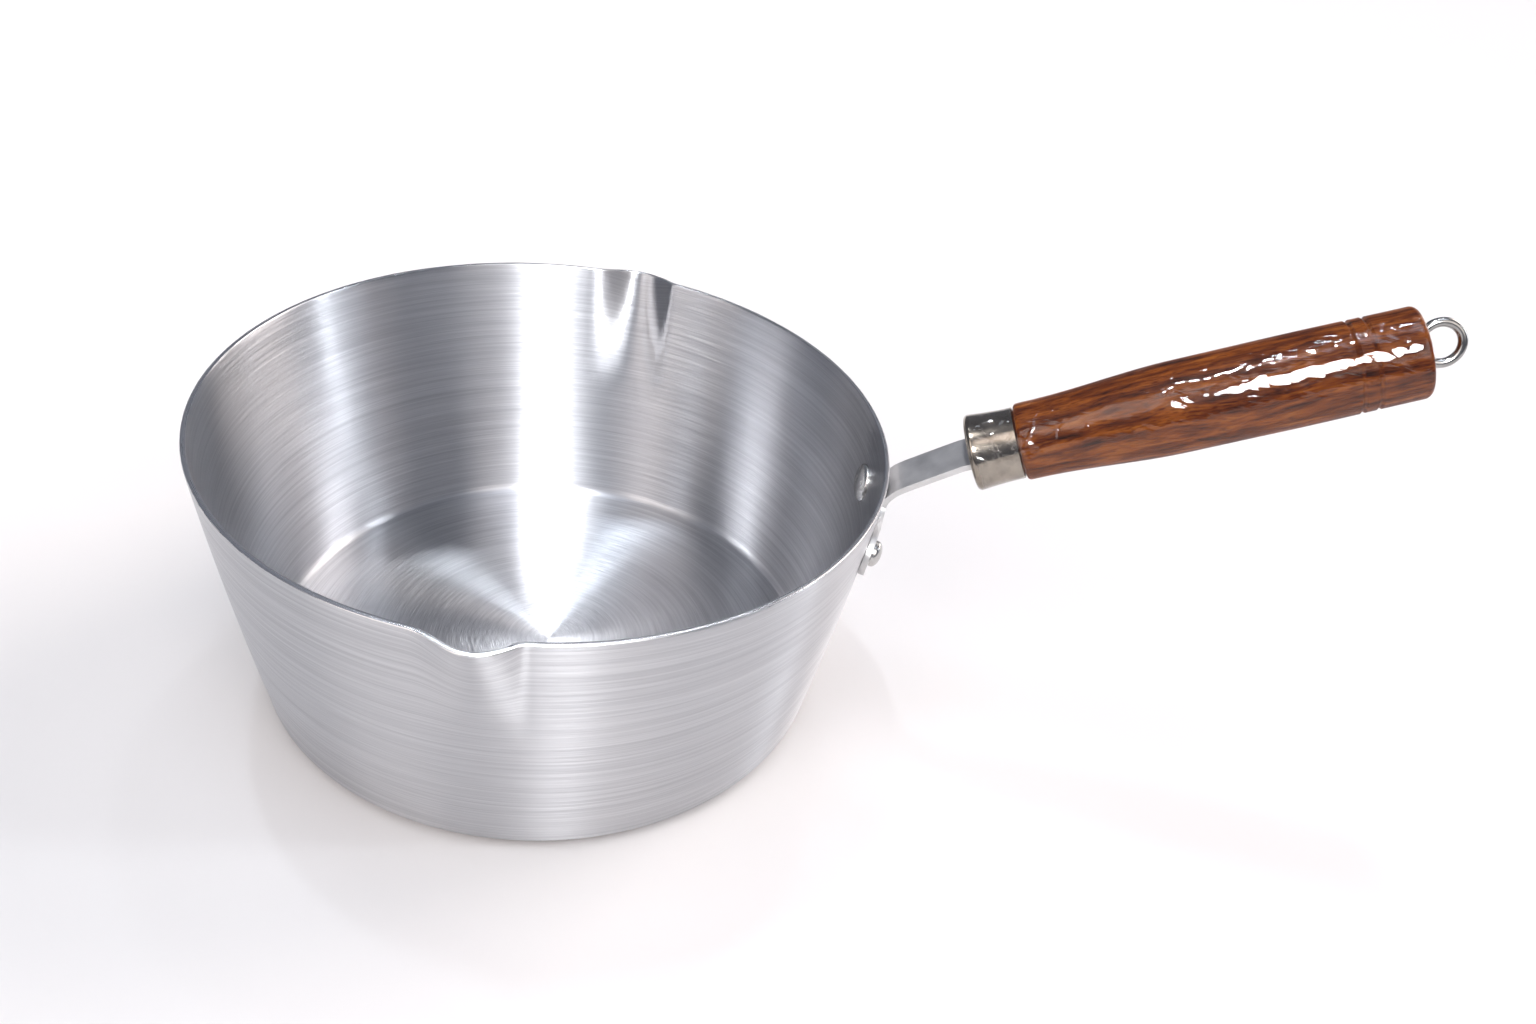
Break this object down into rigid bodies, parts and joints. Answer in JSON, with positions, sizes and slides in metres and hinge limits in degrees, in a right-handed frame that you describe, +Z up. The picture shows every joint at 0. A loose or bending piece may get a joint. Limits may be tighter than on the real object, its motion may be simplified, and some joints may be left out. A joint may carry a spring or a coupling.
{
  "type": "candle melting pot",
  "caption": "Aluminium saucepan with two pour spouts, a riveted strap handle, a wooden grip and a hanging eye, for melting wax in a water bath.",
  "frame": {"origin": "centre of the pan's flat underside", "axes": "+Z up along the pan's axis, +X towards the handle, the two spouts near +Y and -Y"},
  "size_m": [0.3487, 0.2087, 0.1633],
  "materials": {
    "pan": "satin brushed in rings round the pan's axis",
    "bracket": "satin rolled sheet with polished edges",
    "rivet": "bright, domed heads",
    "ferrule": "dull nickel plate",
    "grip": "stained reddish brown, straight open grain",
    "eye": "polished steel wire",
    "film": "clear glossy shrink film with fine creases"
  },
  "bodies": {
    "root": {"pan_body": "pan", "handle_bracket": "bracket", "rivet_left": "rivet", "rivet_right": "rivet", "ferrule": "ferrule", "grip": "grip", "hanging_eye": "eye", "shrink_film": "film"}
  },
  "joints": []
}
